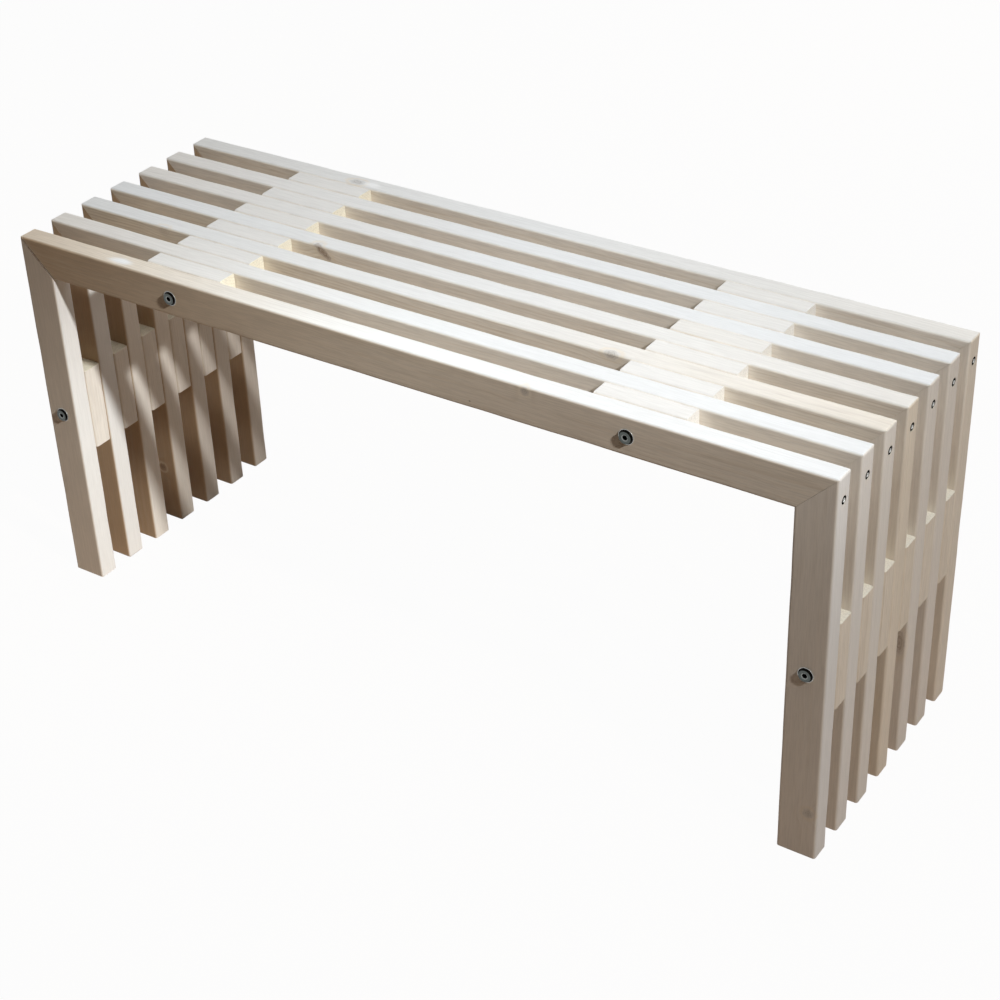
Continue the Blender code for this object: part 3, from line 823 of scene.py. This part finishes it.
# Corner screws. One wood screw draws each mitre together. Its head is black round a bright six-sided
# socket, the black being painted shade of the counterbore round it. Its cylindrical head sits in the
# counterbore, a little below the leg's outer face.
SCREW_HEAD_RADIUS = 0.0045
SCREW_SUNK = 0.0001
SCREW_HEAD_HEIGHT = 0.0038
SCREW_SOCKET = 0.0036
SCREW_SHANK_RADIUS = 0.0020
SCREW_SHANK_LENGTH = 0.016
SCREW_CORE_RADIUS = 0.0014
SCREW_LENGTH = 0.050
SCREW_STEPS = 48


def screw_grid(turns):
    """Rings of the screw from the socket's floor over the head and down the shank to the point."""
    socket = six_sided(SCREW_SOCKET, turns)
    top = -SCREW_SUNK
    under = top - SCREW_HEAD_HEIGHT
    tip = under - SCREW_LENGTH
    rings = [(0.3 * socket, top - 0.0024), (0.96 * socket, top - 0.0022), (socket, top - 0.0021),
             (socket, top - 0.0002), (socket + 0.0002, top), (0.0028, top), (0.0033, top - 0.00005),
             (SCREW_HEAD_RADIUS - 0.0002, top - 0.0002), (SCREW_HEAD_RADIUS, top - 0.0005),
             (SCREW_HEAD_RADIUS, under + 0.0001), (SCREW_HEAD_RADIUS - 0.0001, under),
             (SCREW_SHANK_RADIUS, under), (SCREW_SHANK_RADIUS, under - SCREW_SHANK_LENGTH),
             (SCREW_CORE_RADIUS, under - SCREW_SHANK_LENGTH - 0.002), (SCREW_CORE_RADIUS, tip + 0.005),
             (0.0002, tip)]
    return ring_grid(rings, turns)


# Black band: painted shade of the counterbore round the head.
screw_zinc = zinc_material("zinc_plated_screw", zinc_group, (0.2, 0.2, 0.2, 1), {
    "Grey": (0.80, 0.80, 0.78, 1), "Bright": (0.90, 0.90, 0.88, 1), "Black": (0.010, 0.009, 0.008, 1),
    "Socket edge": 0.0021, "Band start": 0.0022, "Band end": 0.0060, "Bottom": -0.05})
screw_turns = np.linspace(0, 2 * math.pi, SCREW_STEPS, endpoint=False)
for side, sign in SIDES.items():
    for number in FRAMES:
        low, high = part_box(f"leg_{side}_{number}")
        foot = (high.x if sign > 0 else low.x, (low.y + high.y) / 2, high.z - SCREW_DROP)
        radii, heights = screw_grid(screw_turns)
        points = turned(radii, heights, screw_turns, foot, {"name": "x", "sign": sign})
        name = f"corner_screw_{side}_{number}"
        screw = add_piece(name, grid_mesh(name, points, flip=sign > 0))
        mark_turning(screw, radii, heights, screw_turns)
        screw.data.materials.append(screw_zinc)
        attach(screw, "root")


# Stage. A plain floor lies under the bench in a plain room. Both look white to the camera and in the
# metal, and the floor keeps a little of the bench's shadow. The light that the floor gives back is dim
# and warm, as from bare wood, so that gaps and undersides stay dark.
FLOOR_HALF = 6.0
FLOOR_BROWN = (0.42, 0.30, 0.21, 1)
FLOOR_WHITE_SHARE = 0.97
ROOM_WHITE = 0.981        # as bright as the floor looks, so that no line shows between them
floor_mesh = bpy.data.meshes.new("floor")
floor_corners = np.array([(-1, -1, 0), (1, -1, 0), (1, 1, 0), (-1, 1, 0)]) * FLOOR_HALF
floor_mesh.from_pydata(floor_corners.tolist(), [], [(0, 1, 2, 3)])
floor = add_piece("floor", floor_mesh)


def seen_directly(tree):
    """1 for rays from the camera and for mirrored and refracted ones, so that metal shows white too."""
    path = add_node(tree, "LightPath").outputs
    seen = maths(tree, "MAXIMUM", path["Is Camera Ray"], path["Is Glossy Ray"])
    return maths(tree, "MAXIMUM", seen, path["Is Transmission Ray"])


floor_material = bpy.data.materials.new("white_floor")
floor_material.use_nodes = True
floor_tree = floor_material.node_tree
floor_shader = floor_tree.nodes["Principled BSDF"]
floor_shader.inputs["Base Color"].default_value = FLOOR_BROWN
floor_shader.inputs["Roughness"].default_value = 0.9
floor_white = add_node(floor_tree, "Emission", {"Color": (1, 1, 1, 1), "Strength": 1.0})
floor_share = maths(floor_tree, "MULTIPLY", seen_directly(floor_tree), FLOOR_WHITE_SHARE)
floor_mix = add_node(floor_tree, "MixShader",
                     {0: floor_share, 1: floor_shader.outputs[0], 2: floor_white.outputs[0]})
floor_tree.links.new(floor_mix.outputs[0], floor_tree.nodes["Material Output"].inputs["Surface"])
floor_mesh.materials.append(floor_material)

world = bpy.data.worlds.new("studio")
bpy.context.scene.world = world
world.use_nodes = True
world_tree = world.node_tree
fill_light = world_tree.nodes["Background"]
fill_light.inputs["Color"].default_value = (1.0, 0.85, 0.70, 1)
fill_light.inputs["Strength"].default_value = 0.012
white_room = add_node(world_tree, "Background", {"Color": (1, 1, 1, 1), "Strength": ROOM_WHITE})
world_mix = add_node(world_tree, "MixShader",
                     {0: seen_directly(world_tree), 1: fill_light.outputs[0], 2: white_room.outputs[0]})
world_tree.links.new(world_mix.outputs[0], world_tree.nodes["World Output"].inputs["Surface"])


def aim(lamp, place, target):
    """Puts a lamp at its place and turns it about z, and then down, towards the target."""
    towards = np.subtract(target, place)
    down = math.atan2(math.hypot(towards[0], towards[1]), -towards[2])
    lamp.location = place
    lamp.rotation_euler = (down, 0, math.atan2(towards[1], towards[0]) - math.pi / 2)


def add_lamp(name, kind, place, target, power, colour, **options):
    """A lamp with its power in watts, at its place and aimed at its target."""
    lamp_data = bpy.data.lights.new(name, kind)
    lamp_data.energy = power
    lamp_data.color = colour
    for option, value in options.items():
        setattr(lamp_data, option, value)
    lamp = bpy.data.objects.new(name, lamp_data)
    bpy.context.scene.collection.objects.link(lamp)
    aim(lamp, place, target)


KEY_PLACE = (2.10, -0.675, 2.08)
KEY_RADIUS = 0.075
add_lamp("key_lamp", "SPOT", KEY_PLACE, target=(-0.75, -0.03, -0.15), power=132.0, colour=(1.0, 0.99, 0.97),
         shadow_soft_size=KEY_RADIUS, spot_size=math.radians(21), spot_blend=1.0)
add_lamp("leg_lamp", "SPOT", KEY_PLACE, target=(-0.46, -0.20, 0.10), power=172.0, colour=(0.95, 1.0, 0.97),
         shadow_soft_size=KEY_RADIUS, spot_size=math.radians(10), spot_blend=1.0)
add_lamp("key_spill", "SPOT", KEY_PLACE, target=(-0.1, 0.0, 0.3), power=138.0, colour=(1.0, 0.975, 0.95),
         shadow_soft_size=KEY_RADIUS, spot_size=math.radians(60), spot_blend=1.0)
add_lamp("top_softbox", "AREA", (0.25, 0.10, 1.90), target=(0.15, 0.05, 0.45), power=11.8,
         colour=(0.92, 0.97, 1.0), shape="DISK", size=1.6)
add_lamp("right_softbox", "AREA", (0.62, 0.05, 1.10), target=(0.57, 0.05, 0.45), power=0.45,
         colour=(0.86, 0.95, 1.0), shape="DISK", size=0.4)
add_lamp("rear_softbox", "AREA", (-0.3, 2.3, 0.9), target=(-0.1, 0.1, 0.25), power=15.0,
         colour=(1.0, 0.96, 0.93), shape="DISK", size=1.2)
add_lamp("left_softbox", "AREA", (-2.3, 0.1, 0.9), target=(-0.4, 0.0, 0.25), power=4.5,
         colour=(1.0, 0.96, 0.92), shape="DISK", size=1.2)


# Camera. It stands to the right of the front and looks down along the bench, as the photograph does.
camera_data = bpy.data.cameras.new("camera")
camera_data.sensor_width = 36.0
camera_data.lens = 74.402
camera = bpy.data.objects.new("camera", camera_data)
bpy.context.scene.collection.objects.link(camera)
camera.location = (1.12526, -1.58813, 1.43127)
camera.rotation_euler = [math.radians(angle) for angle in (57.1004, 1.8932, 33.4810)]
bpy.context.scene.camera = camera
bpy.context.scene.view_settings.view_transform = "Standard"
